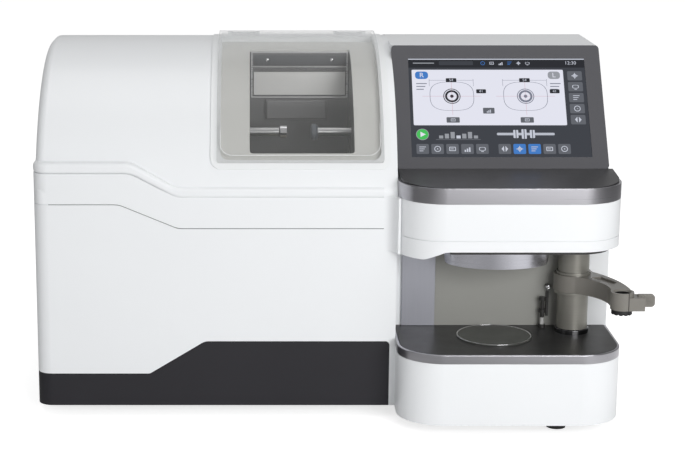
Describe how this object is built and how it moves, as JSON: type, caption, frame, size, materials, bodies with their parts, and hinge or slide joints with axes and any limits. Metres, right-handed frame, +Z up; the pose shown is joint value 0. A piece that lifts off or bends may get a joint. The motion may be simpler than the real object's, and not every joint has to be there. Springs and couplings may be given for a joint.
{
  "type": "optical lens edger",
  "caption": "Bench-top optical lens edger: lidded grinding chamber on the left, tilted touch screen over a lens-blocking bay with camera and swing arm on the right.",
  "frame": {"origin": "middle of the machine outline on the bench that the feet stand on", "axes": "+X to the right of someone facing the machine, +Y to its back, +Z up"},
  "size_m": [0.7254, 0.48, 0.4415],
  "materials": {
    "white_plastic": "satin white moulding",
    "dark_trim": "fine matte, charcoal",
    "bezel_grey": "satin slate grey",
    "screen_glass": "glossy touch glass, screen lit",
    "screen_back": "matte black",
    "smoked_lid": "clear polycarbonate with a grey tint",
    "deck_grey": "satin light grey",
    "chamber_dark": "satin dark grey",
    "bright_steel": "brushed",
    "chrome": "polished",
    "rubber": "moulded rubber",
    "brushed_band": "brushed, anodised",
    "arm_grey": "satin warm grey paint",
    "column_grey": "satin grey",
    "table_dark": "satin black",
    "disc_plate": "satin, translucent when lit",
    "frame_aluminium": "machined",
    "steel_sheet": "powder coat grey",
    "abrasive": "diamond grit",
    "camera_black": "coated lens in a black barrel",
    "led_white": "diffuse white",
    "hose_metal": "nickel plated"
  },
  "bodies": {
    "edger_body": {"base_pan": "steel_sheet", "base_shell": "white_plastic", "base_trim": "dark_trim", "bay_back_panel": "column_grey", "bay_side_panel": "brushed_band", "camera_hood": "brushed_band", "camera_lens": "camera_black", "carriage_axle": "bright_steel", "carriage_brackets": "frame_aluminium", "ceiling_plate": "dark_trim", "chamber_tub": "chamber_dark", "column": "column_grey", "column_ring": "chrome", "deck": "deck_grey", "display_bezel": "bezel_grey", "drive_belt": "rubber", "fan_frame": "screen_back", "feet": "rubber", "head_band": "brushed_band", "head_lower_cover": "white_plastic", "head_shell": "white_plastic", "hose_spigots": "hose_metal", "lcd_module": "screen_back", "led_ring": "led_white", "lid_brackets": "frame_aluminium", "light_disc": "disc_plate", "lower_housing": "white_plastic", "module_housing": "white_plastic", "motor": "steel_sheet", "power_inlet": "screen_back", "rear_panel": "steel_sheet", "shelf_panel": "dark_trim", "spindle_housing": "frame_aluminium", "splash_plate": "bright_steel", "stop_post": "dark_trim", "table_band": "brushed_band", "table_plate": "table_dark", "tool_cover": "chamber_dark", "touch_panel": "screen_glass", "upper_cover": "white_plastic", "water_nozzle": "chamber_dark", "window_frame": "white_plastic"},
    "lid": {"lid": "smoked_lid"},
    "lens_carriage": {"carriage_frame": "frame_aluminium", "shaft_seals": "chamber_dark"},
    "left_chuck_shaft": {"left_shaft": "bright_steel", "left_chuck": "chrome"},
    "lens_clamp": {"clamp_quill": "bright_steel"},
    "right_pad_shaft": {"right_shaft": "bright_steel", "right_pad": "rubber"},
    "grinding_spindle": {"wheel_spindle": "bright_steel", "grinding_wheels": "abrasive", "spindle_pulley": "frame_aluminium"},
    "motor_rotor": {"motor_pulley": "frame_aluminium"},
    "cooling_fan": {"fan_rotor": "screen_back"},
    "power_switch": {"power_rocker": "screen_back"},
    "arm_slide": {"slide_bush": "column_grey"},
    "swing_arm": {"blocking_arm": "arm_grey", "block_holder": "table_dark"},
    "thumb_clip": {"thumb_clip": "arm_grey"}
  },
  "joints": [
    {"name": "lid_hinge", "type": "hinge", "parent": "edger_body", "child": "lid", "pos_m": [-0.04625, 0.07601, 0.4384], "axis": [-1, 0, 0], "range_deg": [0, 75]},
    {"name": "carriage_swing", "type": "hinge", "parent": "edger_body", "child": "lens_carriage", "pos_m": [-0.04, 0.065, 0.329], "axis": [1, 0, 0], "range_deg": [0, 9]},
    {"name": "left_shaft_spin", "type": "hinge", "parent": "lens_carriage", "child": "left_chuck_shaft", "pos_m": [-0.1, -0.043, 0.329], "axis": [1, 0, 0], "continuous": true},
    {"name": "clamp_slide", "type": "slide", "parent": "lens_carriage", "child": "lens_clamp", "axis": [-1, 0, 0], "range_m": [0, 0.027]},
    {"name": "right_shaft_spin", "type": "hinge", "parent": "lens_clamp", "child": "right_pad_shaft", "pos_m": [0.02, -0.043, 0.329], "axis": [1, 0, 0], "continuous": true},
    {"name": "wheel_spin", "type": "hinge", "parent": "edger_body", "child": "grinding_spindle", "pos_m": [-0.1, -0.06, 0.252], "axis": [1, 0, 0], "continuous": true},
    {"name": "motor_spin", "type": "hinge", "parent": "edger_body", "child": "motor_rotor", "pos_m": [-0.156, -0.06, 0.08], "axis": [1, 0, 0], "continuous": true},
    {"name": "fan_spin", "type": "hinge", "parent": "edger_body", "child": "cooling_fan", "pos_m": [-0.25, 0.212, 0.16], "axis": [0, 1, 0], "continuous": true},
    {"name": "switch_rock", "type": "hinge", "parent": "edger_body", "child": "power_switch", "pos_m": [-0.082, 0.22, 0.16], "axis": [1, 0, 0], "range_deg": [0, 20]},
    {"name": "arm_press", "type": "slide", "parent": "edger_body", "child": "arm_slide", "axis": [0, 0, -1], "range_m": [0, 0.036], "stiffness_N_per_m": 60, "springref_m": -0.08},
    {"name": "arm_swing", "type": "hinge", "parent": "arm_slide", "child": "swing_arm", "pos_m": [0.28445, -0.136, 0.163], "axis": [0, 0, 1], "range_deg": [-101.6, 0]},
    {"name": "clip_pinch", "type": "hinge", "parent": "swing_arm", "child": "thumb_clip", "pos_m": [0.3445, -0.229, 0.163], "axis": [0, 0, 1], "range_deg": [0, 10], "stiffness_Nm_per_rad": 0.05, "springref_deg": -14.32}
  ],
  "couplings": [
    {"joint": "right_shaft_spin", "follows": "left_shaft_spin", "ratio": 1},
    {"joint": "motor_spin", "follows": "wheel_spin", "ratio": 1.6667}
  ]
}
